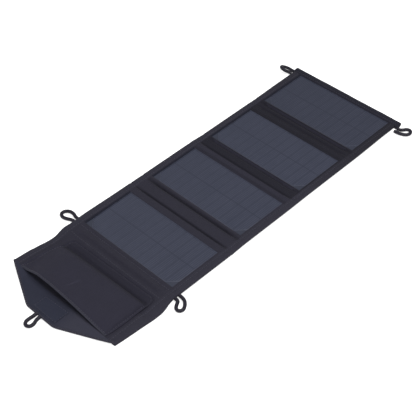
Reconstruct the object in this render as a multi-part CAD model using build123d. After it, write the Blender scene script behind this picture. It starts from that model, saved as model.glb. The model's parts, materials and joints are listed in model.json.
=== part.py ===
from build123d import *
import math
import os

# Foldable four-panel solar charger, opened out flat. Millimetres.
# X runs along the strip from the pocket flap to the far hem, Y across it, +Z up.
# The origin is the middle of the strip's outline, on the surface that it lies on.
#
# The strip rolls up: panel 4 folds onto panel 3, both onto panel 2, all onto panel 1, and
# the roll onto the pocket. Each fold is a band of fabric between two creases, like a
# book's spine, and each is wider than the next because it wraps one more layer.

# ---- driving dimensions -------------------------------------------------------------
STRIP_WIDTH = 150.0
PANEL_THICKNESS = 4.0
FABRIC = 0.6                 # one layer of coated fabric
FOLD_THICKNESS = 2 * FABRIC  # a fold is two layers sewn together
PANELS = 4

NESTING_STEP = 1.6           # each panel is this much shorter than the one it rolls inside
FIRST_PANEL_LENGTH = 79.2
PANEL_LENGTHS = [FIRST_PANEL_LENGTH - NESTING_STEP * n for n in range(PANELS)]

POCKET_DEPTH = 42.1          # flat length of the pocket section, mouth to first crease
POCKET_BASE = 3.0            # thickness of the pocket section under the pocket
POCKET_TOP = 12.0            # height of the pocket front over its contents
FLAP_BEND = 1.8              # strip of fabric that bends where the flap starts
FLAP_DEPTH = 24.0
FLAP_TIP_WIDTH = 41.0
FLAP_TIP_SHIFT = 2.2         # the tip lies this far off the strip's middle line

FOLD_WIDTHS = [32.8, 16.8, 11.6, 7.2]
CREASE_HEIGHT = FOLD_THICKNESS / 2
CREASE_ROOM = 1.2            # rigid pieces stay this far back from a crease
FOLD_ROOM = 0.8              # and a fold's own fabric this far

TAPE_WIDTH = 9.0             # edge tape, seen from above
TAPE_ROUND = 1.3
HEM_DEPTH = 8.5
HEM_OVERHANG = 1.2           # the far hem sticks out past the edge tapes
HEM_CORNER = 1.0

WAFER_WIDTH = 125.5          # across the strip: half of a 125 mm wafer
WAFER_DEPTH = 59.6           # along the strip
CELL_STRIPS = 12
CELL_GAP = 0.5
CELL_THICKNESS = 0.2
WAFER_CORNER = 9.0           # leg of the wafer's cut corners
CELL_OFFSETS = [9.1, 6.3, 4.4, 5.3]   # first crease of a panel to its wafer

BOARD_THICKNESS = 1.6
BOARD_SIDE_ROOM = 5.0        # a panel's board stops this far inside the strip's edges
BOARD_END_ROOM = 1.0         # and this far inside its fabric's ends
BOARD_CORNER = 3.0
LAMINATE_THICKNESS = 1.2
LAMINATE_NEAR = 2.4          # the laminate runs under the fabric past the wafer
LAMINATE_FAR = 4.0
LAMINATE_CORNER = 2.0
WINDOW_MARGIN = 1.0          # backing that shows round the wafer
WINDOW_FAR = 1.6
WINDOW_CORNER = 1.5
RIBBON_WIDTH = 6.0
RIBBON_THICKNESS = 0.3
RIBBON_Y = 30.0
RIBBON_CHANNEL_WIDTH = 6.4   # the gap between the fold's two layers that a ribbon lies in
RIBBON_CHANNEL_HEIGHT = 0.4

CORD_DIAMETER = 3.6
CORD_Z = 2.0                 # the loops lie near the ground

HALF = STRIP_WIDTH / 2
TAPE_INNER = HALF - TAPE_WIDTH
STRIP_LENGTH = FLAP_DEPTH + FLAP_BEND + POCKET_DEPTH + sum(FOLD_WIDTHS) + sum(PANEL_LENGTHS)

# ---- stations along the strip -------------------------------------------------------
FLAP_TIP = -STRIP_LENGTH / 2
FLAP_START = FLAP_TIP + FLAP_DEPTH
POCKET_START = FLAP_START + FLAP_BEND
POCKET_END = POCKET_START + POCKET_DEPTH
FOLD_STARTS = []
PANEL_STARTS = []
station = POCKET_END
for fold_width, panel_length in zip(FOLD_WIDTHS, PANEL_LENGTHS):
    FOLD_STARTS.append(station)
    PANEL_STARTS.append(station + fold_width)
    station += fold_width + panel_length
STRIP_END = station

os.makedirs("parts", exist_ok=True)


def save(name, shape):
    """Write one named sub-part."""
    export_step(shape, f"parts/{name}.step")


def block(x0, x1, y0, y1, z0, z1):
    """A plain block from its six faces' positions."""
    return Pos((x0 + x1) / 2, (y0 + y1) / 2, (z0 + z1) / 2) * Box(x1 - x0, y1 - y0, z1 - z0)


def plate(x0, x1, y0, y1, z0, z1, corner):
    """A plate with rounded corners."""
    outline = Pos((x0 + x1) / 2, (y0 + y1) / 2, z0) * RectangleRounded(x1 - x0, y1 - y0, corner)
    return extrude(outline, z1 - z0)


def prism(points, z0, z1):
    """A flat shape of straight sides, pushed up from z0 to z1."""
    return extrude(Pos(0, 0, z0) * make_face(Polyline(*points, close=True)), z1 - z0)


# ---- fabric pieces that every stiff section has --------------------------------------
def edge_tape(x0, x1, side, thickness):
    """Tape folded round one long edge: a channel that opens towards the strip's middle."""
    outer = block(x0, x1, TAPE_INNER, HALF, 0, thickness)
    outer = fillet(outer.edges().filter_by(Axis.X).group_by(Axis.Y)[-1], TAPE_ROUND)
    slot = block(x0, x1, TAPE_INNER, HALF - FABRIC, FABRIC, thickness - FABRIC)
    tape = outer - slot
    return tape if side > 0 else mirror(tape, about=Plane.XZ)


def back_fabric(x0, x1):
    """The outer fabric under a section, between its edge tapes."""
    return block(x0, x1, -TAPE_INNER, TAPE_INNER, 0, FABRIC)


def front_fabric(x0, x1, thickness, turned_ends):
    """The upper fabric of a section, turned down over the ends of its board."""
    top = block(x0, x1, -TAPE_INNER, TAPE_INNER, FABRIC, thickness)
    low = x0 + (FABRIC if turned_ends[0] else 0)
    high = x1 - (FABRIC if turned_ends[1] else 0)
    top -= block(low, high, -TAPE_INNER, TAPE_INNER, FABRIC, thickness - FABRIC)
    bends = top.edges().filter_by(Axis.Y).group_by(Axis.Z)[-1].sort_by(Axis.X)
    turned = [edge for edge, is_turned in zip((bends[0], bends[-1]), turned_ends) if is_turned]
    return fillet(turned, FABRIC * 0.8)


def stiff_board(x0, x1, top):
    """The stiff board between a section's two fabrics."""
    side = HALF - BOARD_SIDE_ROOM
    return plate(x0, x1, -side, side, FABRIC, top, BOARD_CORNER)


# ---- the four panels -----------------------------------------------------------------
def wafer_strips(x0):
    """The half wafer, sawn into strips side by side, with its two cut corners at x0."""
    pitch = WAFER_WIDTH / CELL_STRIPS
    half = WAFER_WIDTH / 2
    outline = [
        (x0 + WAFER_CORNER, -half),
        (x0 + WAFER_DEPTH, -half),
        (x0 + WAFER_DEPTH, half),
        (x0 + WAFER_CORNER, half),
        (x0, half - WAFER_CORNER),
        (x0, WAFER_CORNER - half),
    ]
    top = FABRIC + BOARD_THICKNESS + LAMINATE_THICKNESS
    wafer = prism(outline, top - CELL_THICKNESS, top)
    for n in range(1, CELL_STRIPS):
        cut = n * pitch - half
        wafer -= block(x0, x0 + WAFER_DEPTH, cut - CELL_GAP / 2, cut + CELL_GAP / 2,
                       top - CELL_THICKNESS, top)
    return wafer


def laminate(x0, cells):
    """Backing sheet and clear face, with a seat for each cell strip."""
    low = FABRIC + BOARD_THICKNESS
    sheet = plate(x0 - LAMINATE_NEAR, x0 + WAFER_DEPTH + LAMINATE_FAR, -TAPE_INNER, TAPE_INNER,
                  low, low + LAMINATE_THICKNESS, LAMINATE_CORNER)
    return sheet - cells


def panel_window(x0):
    """The opening in a panel's front fabric that shows the laminate."""
    half = WAFER_WIDTH / 2 + WINDOW_MARGIN
    return plate(x0 - WINDOW_MARGIN, x0 + WAFER_DEPTH + WINDOW_FAR, -half, half,
                 PANEL_THICKNESS - FABRIC, PANEL_THICKNESS, WINDOW_CORNER)


def make_panel(number, start, length, cell_offset):
    """One panel: two fabrics, two tapes, board, laminate and cells."""
    name = f"panel_{number}"
    last = number == PANELS
    x0 = start + CREASE_ROOM
    x1 = start + length - (HEM_DEPTH if last else CREASE_ROOM)
    wafer = start + cell_offset
    board_end = STRIP_END - 2 * BOARD_END_ROOM if last else x1 - BOARD_END_ROOM
    cells = wafer_strips(wafer)
    front = front_fabric(x0, x1, PANEL_THICKNESS, (True, not last)) - panel_window(wafer)
    save(f"{name}_back_fabric", back_fabric(x0, x1))
    save(f"{name}_board", stiff_board(x0 + BOARD_END_ROOM, board_end, FABRIC + BOARD_THICKNESS))
    save(f"{name}_laminate", laminate(wafer, cells))
    save(f"{name}_cells", cells)
    save(f"{name}_front_fabric", front)
    save(f"{name}_left_tape", edge_tape(x0, x1, 1, PANEL_THICKNESS))
    save(f"{name}_right_tape", edge_tape(x0, x1, -1, PANEL_THICKNESS))


def far_hem():
    """The wide hem over the strip's far edge, closed at both corners."""
    wide = HALF + HEM_OVERHANG
    inner = STRIP_END - HEM_DEPTH
    hem = block(inner, STRIP_END, -wide, wide, 0, PANEL_THICKNESS)
    hem = fillet(hem.edges().group_by(Axis.X)[-1].filter_by(Axis.Y), TAPE_ROUND)
    ends = [edge for edge in hem.edges().filter_by(Axis.Z) if edge.center().X > inner + 1]
    hem = fillet(ends, HEM_CORNER)
    return hem - block(inner, STRIP_END - FABRIC, -wide + FABRIC, wide - FABRIC,
                       FABRIC, PANEL_THICKNESS - FABRIC)


# ---- the folds between sections ------------------------------------------------------
SLEEVE_CORNER = 1.5


def ribbon_pair(x0, x1, width, thickness):
    """Two flat runs side by side, on the fold's middle layer."""
    runs = [
        block(x0, x1, y - width / 2, y + width / 2,
              CREASE_HEIGHT - thickness / 2, CREASE_HEIGHT + thickness / 2)
        for y in (-RIBBON_Y, RIBBON_Y)
    ]
    return Compound(runs)


def make_fold(number, start, width):
    """One fold: a sleeve of two fabric layers with the copper ribbons inside."""
    x0 = start + FOLD_ROOM
    x1 = start + width - FOLD_ROOM
    sleeve = plate(x0, x1, -HALF, HALF, 0, FOLD_THICKNESS, SLEEVE_CORNER)
    sleeve -= ribbon_pair(x0, x1, RIBBON_CHANNEL_WIDTH, RIBBON_CHANNEL_HEIGHT)
    save(f"fold_{number}_fabric", sleeve)
    save(f"fold_{number}_ribbons", ribbon_pair(x0, x1, RIBBON_WIDTH, RIBBON_THICKNESS))


# ---- the pocket ----------------------------------------------------------------------
POCKET_SKIN = 0.8            # pocket front: outer fabric and its coating
MOUTH = POCKET_START + 0.8
POCKET_WALL = POCKET_END - CREASE_ROOM
SHOULDER = POCKET_START + 13.0   # where the front has risen over its contents
POCKET_SHOULDER = 5.0            # radius where the front turns down at its far end
MOUTH_BINDING = 0.6              # tape folded over the mouth's edge
BINDING_DEPTH = 2.2
CUT_PAST = 1.0                   # a cut runs this far past the face that it opens
SEAM = 3.0                       # seam allowance round the pocket front
SEAM_CORNER = 2.0
TAPE_START = POCKET_START + 2.0  # the edge tapes start a little inside the mouth
PATCH_HALF_WIDTH = 18.0          # the hook patch on the flap and its loop patch on the pocket
PATCH_LENGTH = 16.0
PATCH_THICKNESS = 0.6
PATCH_CORNER = 1.8
LOOP_PATCH_START = POCKET_START + 4.0
BOARD_SEAT = 2.6                 # the circuit board stands this far above the box's foot

# heights of the pocket front across the strip, from its right seam to its left one:
# the mouth gapes towards the left, and further in the front lies over the regulator
MOUTH_ARCH = [(-56, 0), (-42, 3.2), (-22, 6.0), (0, 8.2), (15, 9.0), (28, 9.2), (40, 7.6),
              (50, 4.0), (57, 0)]
FULL_ARCH = [(-57, 0), (-52, 6.4), (-42, 8.8), (-22, 9.0), (0, 9.0), (22, 9.0), (42, 8.8),
             (53, 6.4), (58, 0)]


def arch_face(x, arch, inset):
    """The pocket front's cross-section at x, made smaller all round by inset."""
    reach = arch[-1][0]
    middle = (arch[0][0] + reach) / 2
    narrow = 1 - inset / (reach - middle)
    base = POCKET_BASE
    points = [(x, middle + (y - middle) * narrow, base + max(h - inset, 0) if h else base)
              for y, h in arch]
    top = Spline(*points)
    return make_face([top, Line(top @ 1, top @ 0)])


def pocket_form(inset, mouth):
    """The room under the pocket front, as a solid, made smaller all round by inset."""
    wall = POCKET_WALL - inset
    sections = [
        arch_face(mouth, MOUTH_ARCH, inset),
        arch_face(SHOULDER, FULL_ARCH, inset),
        arch_face(wall, FULL_ARCH, inset),
    ]
    form = loft(sections, ruled=True)
    envelope = block(mouth, wall, -HALF, HALF, 0, POCKET_TOP - inset)
    far_shoulder = envelope.edges().filter_by(Axis.Y).group_by(Axis.X)[-1].sort_by(Axis.Z)[-1]
    return form & fillet(far_shoulder, POCKET_SHOULDER - inset)


def seam_flange(x0, x1):
    """The pocket front's seam allowance, sewn flat on the lining round three sides."""
    return plate(x0, x1, MOUTH_ARCH[0][0] - SEAM, FULL_ARCH[-1][0] + SEAM,
                 POCKET_BASE, POCKET_BASE + FABRIC, SEAM_CORNER)


def fastener_patch(x, z):
    """One half of the hook and loop fastener, from x on, lying at height z."""
    return plate(x, x + PATCH_LENGTH, -PATCH_HALF_WIDTH, PATCH_HALF_WIDTH,
                 z, z + PATCH_THICKNESS, PATCH_CORNER)


def make_pocket():
    """The pocket section: base, board, lining, tapes, the bulged front and its bound mouth."""
    x0 = POCKET_START
    x1 = POCKET_END - CREASE_ROOM
    save("pocket_back_fabric", back_fabric(x0, x1))
    save("pocket_board", stiff_board(x0 + BOARD_END_ROOM, x1 - BOARD_END_ROOM,
                                     POCKET_BASE - FABRIC))
    save("pocket_lining", front_fabric(x0, x1, POCKET_BASE, (False, True)))
    save("pocket_left_tape", edge_tape(TAPE_START, x1, 1, POCKET_BASE))
    save("pocket_right_tape", edge_tape(TAPE_START, x1, -1, POCKET_BASE))

    hollow = pocket_form(POCKET_SKIN, MOUTH - CUT_PAST)
    front = (pocket_form(0, MOUTH) + seam_flange(MOUTH, POCKET_WALL)) - hollow
    save("pocket_front", front)

    bound = pocket_form(-MOUTH_BINDING, MOUTH - MOUTH_BINDING)
    bound &= block(MOUTH - MOUTH_BINDING, MOUTH + BINDING_DEPTH, -HALF, HALF,
                   POCKET_BASE + FABRIC, HALF)
    save("pocket_mouth_binding", bound - hollow - front)
    save("pocket_loop_patch", fastener_patch(LOOP_PATCH_START, POCKET_TOP))


# ---- the regulator box in the pocket -------------------------------------------------
BOX_X = (POCKET_END - 28.2, POCKET_END - 4.2)
BOX_Y = (-22.0, 32.0)
BOX_HEIGHT = 7.4
BOX_WALL = 0.8
BOX_SPLIT = POCKET_BASE + 3.8
SOCKET_WIDTH = 13.1          # a USB A socket's shell
SOCKET_HEIGHT = 5.7
SOCKET_LENGTH = 14.0
SOCKET_MIDDLE = POCKET_BASE + BOX_HEIGHT / 2
SOCKET_Y = 16.0
SOCKET_ROOM = 0.1            # play between the socket's shell and the box
SHEET_METAL = 0.3
TONGUE_WIDTH = 11.1
TONGUE_THICKNESS = 1.84
TONGUE_RISE = 0.3            # the tongue lies above the socket's middle
TONGUE_SETBACK = 1.0
CIRCUIT_BOARD = 1.0
CIRCUIT_ROOM = 1.4           # the circuit board stops this far inside the box's sides
CIRCUIT_CORNER = 1.0
BOX_CORNER = 2.5
BOX_EDGE = 0.8
POST_RADIUS = 1.6
POST_INSET = 4.0
LEAD_SLOT_Y = (BOX_Y[0] + 8.0, BOX_Y[0] + 22.0)
LEAD_SLOT_HEIGHT = 1.2
COIL = (BOX_X[0] + 11.0, BOX_Y[0] + 10.0, 3.5, 2.6)    # middle, radius and height
CAN = (BOX_X[0] + 6.0, BOX_Y[0] + 18.0, 2.0, 2.7)
CHIP_X = (BOX_X[0] + 15.5, BOX_X[0] + 20.5)
CHIP_Y = (BOX_Y[0] + 20.0, BOX_Y[0] + 24.0)
CHIP_HEIGHT = 1.6


def box_half(z0, z1, closed_at):
    """Half of the regulator's moulded housing: floor or roof at closed_at, walls all round."""
    shell = plate(*BOX_X, *BOX_Y, z0, z1, BOX_CORNER)
    rim = shell.edges().filter_by(lambda edge: abs(edge.center().Z - closed_at) < 0.01)
    shell = fillet(rim, BOX_EDGE)
    low = z0 + (BOX_WALL if closed_at == z0 else -CUT_PAST)
    high = z1 - (BOX_WALL if closed_at == z1 else -CUT_PAST)
    shell -= plate(BOX_X[0] + BOX_WALL, BOX_X[1] - BOX_WALL, BOX_Y[0] + BOX_WALL,
                   BOX_Y[1] - BOX_WALL, low, high, BOX_CORNER - BOX_WALL)
    return shell - socket_block(BOX_X[0] - CUT_PAST, BOX_X[0] + BOX_WALL + CUT_PAST, SOCKET_ROOM)


def socket_block(x0, x1, room):
    """The space of the socket's shell, made larger all round by room."""
    return block(x0, x1, SOCKET_Y - SOCKET_WIDTH / 2 - room, SOCKET_Y + SOCKET_WIDTH / 2 + room,
                 SOCKET_MIDDLE - SOCKET_HEIGHT / 2 - room, SOCKET_MIDDLE + SOCKET_HEIGHT / 2 + room)


def make_regulator():
    """The box that turns the panels' current into a USB supply."""
    top = POCKET_BASE + BOX_HEIGHT
    base = box_half(POCKET_BASE, BOX_SPLIT, POCKET_BASE)
    lead_slot = block(BOX_X[1] - BOX_WALL - CUT_PAST, BOX_X[1] + CUT_PAST, *LEAD_SLOT_Y,
                      BOX_SPLIT - LEAD_SLOT_HEIGHT, BOX_SPLIT)
    posts = [
        Pos(x, y, POCKET_BASE + BOX_WALL) * extrude(Circle(POST_RADIUS), BOARD_SEAT - BOX_WALL)
        for x in (BOX_X[0] + POST_INSET, BOX_X[1] - POST_INSET)
        for y in (BOX_Y[0] + POST_INSET, BOX_Y[1] - POST_INSET)
    ]
    save("regulator_base", base - lead_slot + posts)
    save("regulator_lid", box_half(BOX_SPLIT, top, top))

    board_low = POCKET_BASE + BOARD_SEAT
    circuit = plate(BOX_X[0] + CIRCUIT_ROOM, BOX_X[1] - CIRCUIT_ROOM,
                    BOX_Y[0] + CIRCUIT_ROOM, BOX_Y[1] - CIRCUIT_ROOM,
                    board_low, board_low + CIRCUIT_BOARD, CIRCUIT_CORNER)
    socket_end = BOX_X[0] + SOCKET_LENGTH
    save("regulator_board",
         circuit - socket_block(BOX_X[0], socket_end + 2 * SOCKET_ROOM, 1.5 * SOCKET_ROOM))

    shell = socket_block(BOX_X[0] + 2 * SOCKET_ROOM, socket_end, 0)
    shell = fillet(shell.edges().filter_by(Axis.X), 0.5)
    shell -= socket_block(BOX_X[0], socket_end - SHEET_METAL, -SHEET_METAL)
    save("usb_socket_shell", shell)
    tongue_low = SOCKET_MIDDLE + TONGUE_RISE
    tongue = block(BOX_X[0] + TONGUE_SETBACK, socket_end - SHEET_METAL,
                   SOCKET_Y - TONGUE_WIDTH / 2, SOCKET_Y + TONGUE_WIDTH / 2,
                   tongue_low, tongue_low + TONGUE_THICKNESS)
    save("usb_socket_tongue", chamfer(tongue.edges().group_by(Axis.X)[0], 0.3))

    on_board = board_low + CIRCUIT_BOARD
    coil, can = [
        Pos(x, y, on_board) * extrude(Circle(radius), height)
        for x, y, radius, height in (COIL, CAN)
    ]
    save("regulator_parts", Compound([
        chamfer(coil.edges().group_by(Axis.Z)[-1], 0.6),
        fillet(can.edges().group_by(Axis.Z)[-1], 0.4),
        block(*CHIP_X, *CHIP_Y, on_board, on_board + CHIP_HEIGHT),
    ]))


# ---- the flap ------------------------------------------------------------------------
FLAP_LOW = 0.8
FLAP_SKIN = 1.0
FLAP_SKIN_INSET = 0.4
FLAP_TAPE = 2.4
FLAP_TAPE_THICKNESS = 1.6
FLAP_CORNER = 2.5
HOOK_PATCH_START = FLAP_TIP + 3.2


def flap_side(side, inset):
    """Two corners of the flap on one side, at its start and at its tip, inside by inset."""
    tip_half = FLAP_TIP_WIDTH / 2 + side * FLAP_TIP_SHIFT
    slope = (HALF - tip_half) / (TAPE_START - FLAP_TIP)
    across = inset * math.hypot(1, slope)
    start = (FLAP_START, side * (tip_half + slope * FLAP_DEPTH - across))
    tip = (FLAP_TIP + inset, side * (tip_half + slope * inset - across))
    return start, tip


def flap_outline(inset):
    """The flap's plan: narrow at the tip, with rounded corners, smaller by inset."""
    left_start, left_tip = flap_side(1, inset)
    right_start, right_tip = flap_side(-1, inset)
    outline = make_face(Polyline(right_start, left_start, left_tip, right_tip, close=True))
    tips = outline.vertices().group_by(Axis.X)[0]
    return fillet(tips, FLAP_CORNER)


def make_flap():
    """The flap: one fabric layer, tape round three edges and the hook patch."""
    skin = extrude(Pos(0, 0, FLAP_LOW) * flap_outline(FLAP_SKIN_INSET), FLAP_SKIN)
    band = flap_outline(0) - flap_outline(FLAP_TAPE)
    tape = extrude(Pos(0, 0, FLAP_LOW + (FLAP_SKIN - FLAP_TAPE_THICKNESS) / 2) * band,
                   FLAP_TAPE_THICKNESS)
    save("flap_fabric", skin)
    save("flap_edge_tape", tape - skin)
    save("flap_hook_patch", fastener_patch(HOOK_PATCH_START, FLAP_LOW + FLAP_SKIN))


# ---- the cord loops ------------------------------------------------------------------
# each route starts and ends at the edge that the loop is sewn into
LOOPS = {
    "hinge_left_loop": [
        (-113.4, 75.0, CORD_Z), (-113.4, 79.4, CORD_Z), (-111.4, 84.8, CORD_Z),
        (-111.8, 90.6, CORD_Z), (-115.6, 94.8, CORD_Z), (-120.6, 94.6, CORD_Z),
        (-122.6, 89.8, CORD_Z), (-121.2, 84.4, CORD_Z), (-118.4, 79.4, CORD_Z),
        (-118.4, 75.0, CORD_Z),
    ],
    "hinge_right_loop": [
        (-114.4, -75.0, CORD_Z), (-114.4, -79.4, CORD_Z), (-115.8, -84.2, CORD_Z),
        (-119.6, -88.2, CORD_Z), (-124.2, -91.0, CORD_Z), (-128.4, -89.2, CORD_Z),
        (-128.4, -84.8, CORD_Z), (-124.0, -81.4, CORD_Z), (-119.8, -79.6, CORD_Z),
        (-119.8, -75.0, CORD_Z),
    ],
    "far_left_loop": [
        (215.2, 76.2, CORD_Z), (215.2, 80.4, CORD_Z), (215.6, 85.0, CORD_Z),
        (213.6, 89.8, 3.0), (208.6, 90.8, 6.0), (205.2, 86.2, 7.0),
        (206.6, 81.6, 5.0), (209.4, 79.4, 3.0), (210.4, 76.2, CORD_Z),
    ],
    "far_right_loop": [
        (213.2, -76.2, CORD_Z), (213.2, -79.8, CORD_Z), (216.0, -82.4, CORD_Z),
        (219.6, -84.8, CORD_Z), (220.0, -89.2, CORD_Z), (216.2, -91.8, CORD_Z),
        (211.8, -90.2, CORD_Z), (209.2, -85.8, CORD_Z), (208.0, -80.6, CORD_Z),
        (208.0, -76.2, CORD_Z),
    ],
    "flap_tip_loop": [
        (FLAP_TIP, 7.2, CORD_Z), (-226.2, 7.2, CORD_Z), (-230.8, 7.6, CORD_Z),
        (-235.2, 7.0, CORD_Z), (-237.6, 3.4, CORD_Z), (-235.8, -0.4, CORD_Z),
        (-231.4, -1.2, CORD_Z), (-226.0, 1.6, CORD_Z), (FLAP_TIP, 1.6, CORD_Z),
    ],
}


def corner_radius(before, corner, after):
    """The arc at a corner of a cord's route: as large as its two runs allow."""
    one = Vector(*corner) - Vector(*before)
    two = Vector(*after) - Vector(*corner)
    half_turn = math.radians(one.get_angle(two) / 2)
    return 0.45 * min(one.length, two.length) / math.tan(half_turn)


def make_loop(name, route):
    """A round cord along straight runs joined by tangent arcs."""
    radii = [corner_radius(*route[n - 1:n + 2]) for n in range(1, len(route) - 1)]
    path = FilletPolyline(*route, radius=radii)
    start = Plane(origin=path @ 0, z_dir=path % 0)
    cord = sweep(start * Circle(CORD_DIAMETER / 2), path=path)
    full = math.pi * (CORD_DIAMETER / 2) ** 2 * path.length
    print(f"{name}: length {path.length:.1f}, radii {min(radii):.1f} to {max(radii):.1f},",
          f"volume {cord.volume:.0f} of {full:.0f}")
    save(name, cord)


# ---- build ---------------------------------------------------------------------------
make_pocket()
make_regulator()
make_flap()
for n in range(PANELS):
    make_fold(n + 1, FOLD_STARTS[n], FOLD_WIDTHS[n])
    make_panel(n + 1, PANEL_STARTS[n], PANEL_LENGTHS[n], CELL_OFFSETS[n])
save("far_hem", far_hem())
for loop_name, loop_route in LOOPS.items():
    make_loop(loop_name, loop_route)
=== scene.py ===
import json
import math

import bpy
import numpy as np
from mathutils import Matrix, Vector


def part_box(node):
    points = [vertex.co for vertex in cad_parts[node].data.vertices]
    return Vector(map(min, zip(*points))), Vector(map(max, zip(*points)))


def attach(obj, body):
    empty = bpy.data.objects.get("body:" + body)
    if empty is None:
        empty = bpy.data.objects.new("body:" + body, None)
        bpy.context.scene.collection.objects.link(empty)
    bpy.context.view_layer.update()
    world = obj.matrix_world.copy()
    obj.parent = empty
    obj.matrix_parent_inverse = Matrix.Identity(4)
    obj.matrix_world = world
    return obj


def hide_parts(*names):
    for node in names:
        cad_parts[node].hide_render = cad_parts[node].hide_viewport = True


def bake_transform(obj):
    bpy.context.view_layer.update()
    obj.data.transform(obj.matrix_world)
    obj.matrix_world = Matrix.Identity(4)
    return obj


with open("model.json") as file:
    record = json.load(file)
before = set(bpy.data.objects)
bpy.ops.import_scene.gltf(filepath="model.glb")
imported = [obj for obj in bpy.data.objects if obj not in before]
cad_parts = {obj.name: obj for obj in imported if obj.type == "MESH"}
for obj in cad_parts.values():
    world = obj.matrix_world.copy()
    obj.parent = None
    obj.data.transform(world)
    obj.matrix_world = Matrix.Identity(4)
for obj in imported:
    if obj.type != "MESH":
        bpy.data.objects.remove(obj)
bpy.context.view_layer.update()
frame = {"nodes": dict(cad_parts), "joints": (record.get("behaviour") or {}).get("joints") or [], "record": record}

# Foldable four-panel solar charger, opened out flat: its looks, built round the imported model.
# Shapes are worked out in millimetres in the model's own frame, cords in metres, and piece
# makes the meshes in metres. X runs along the strip from the flap to the far hem, Y across it
# to the left, +Z up.

MM = 0.001


# ---- places taken from the frame ----
def low(node):
    return np.array(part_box(node)[0]) / MM


def high(node):
    return np.array(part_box(node)[1]) / MM


JOINT_X = {joint["name"]: joint["pos_m"][0] / MM for joint in frame["joints"]}
PANELS = (1, 2, 3, 4)
SECTIONS = ["pocket_section"]        # the bodies along the strip, and the creases between them
CREASES = []
FOLDS = {}
for n in PANELS:
    SECTIONS += [f"fold_{n}", f"panel_{n}"]
    FOLDS[n] = (JOINT_X[f"fold_{n}_first_crease"], JOINT_X[f"fold_{n}_second_crease"])
    CREASES += FOLDS[n]

POCKET_START = low("pocket_back_fabric")[0]
HEM_START = low("far_hem")[0]
STRIP_END = high("far_hem")[0]
HEM_HALF = high("far_hem")[1]
HALF = high("panel_1_left_tape")[1]
TAPE_INNER = low("panel_1_left_tape")[1]
PANEL_TOP = high("panel_1_front_fabric")[2]
LINING_TOP = high("pocket_lining")[2]
FLAP_TIP = low("flap_edge_tape")[0]
FLAP_TOP = high("flap_fabric")[2]
WAFERS = {n: (low(f"panel_{n}_cells")[0], high(f"panel_{n}_cells")[0]) for n in PANELS}
WAFER_HALF = high("panel_1_cells")[1]

# where the fabrics and tapes are cut: the middle of each section, where they lie flat
CUTS = [POCKET_START]
CUTS += [(a + b) / 2 for a, b in zip(CREASES, CREASES[1:])]
CUTS += [HEM_START + 2.0]
BEND = 2.5                           # a crease bends the fabric over this much to each side


# ---- small helpers ----
def grid(xs, ys):
    return np.meshgrid(xs, ys, indexing="ij")


def circle(count):
    """Even angles once round."""
    return np.arange(count) / count * 2 * math.pi


def points_at(x, y, z):
    """Points in a row, from values or single numbers."""
    return np.column_stack(np.broadcast_arrays(x, y, z))


def unit(vectors):
    return vectors / np.linalg.norm(vectors, axis=1)[:, None]


def side_and_over(way):
    """The directions to the side of a line and over it."""
    side = unit(np.cross([0.0, 0.0, 1.0], way))
    return side, np.cross(way, side)


def walk(points):
    """A line's length, and a function from distances along it to points."""
    along = np.concatenate([[0], np.cumsum(np.linalg.norm(np.diff(points, axis=0), axis=1))])
    return along[-1], lambda at: points_at(*[np.interp(at, along, points[:, k]) for k in range(3)])


def read(items, key, width=1, kind=float):
    """One value or vector of each of a mesh's items."""
    values = np.zeros(len(items) * width, kind)
    items.foreach_get(key, values)
    return values.reshape(-1, width) if width > 1 else values


# ---- camera ----
def make_camera():
    data = bpy.data.cameras.new("camera")
    data.sensor_width = 36.0
    data.lens = 94.2
    data.clip_start = 0.05
    camera = bpy.data.objects.new("camera", data)
    camera.location = (-0.5462, -0.6036, 0.7759)
    camera.rotation_euler = [math.radians(angle) for angle in (45.776, 2.859, -44.774)]
    bpy.context.scene.collection.objects.link(camera)
    bpy.context.scene.camera = camera


make_camera()


# ---- node helpers ----
def shade(colour, share=1.0):
    """A colour from 0 to 255 per channel, made darker or lighter, as linear values."""
    channels = [min(c * share, 255) / 255 for c in colour]
    return [c / 12.92 if c <= 0.04045 else ((c + 0.055) / 1.055) ** 2.4 for c in channels] + [1.0]


BLACK = shade((0, 0, 0))


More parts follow.
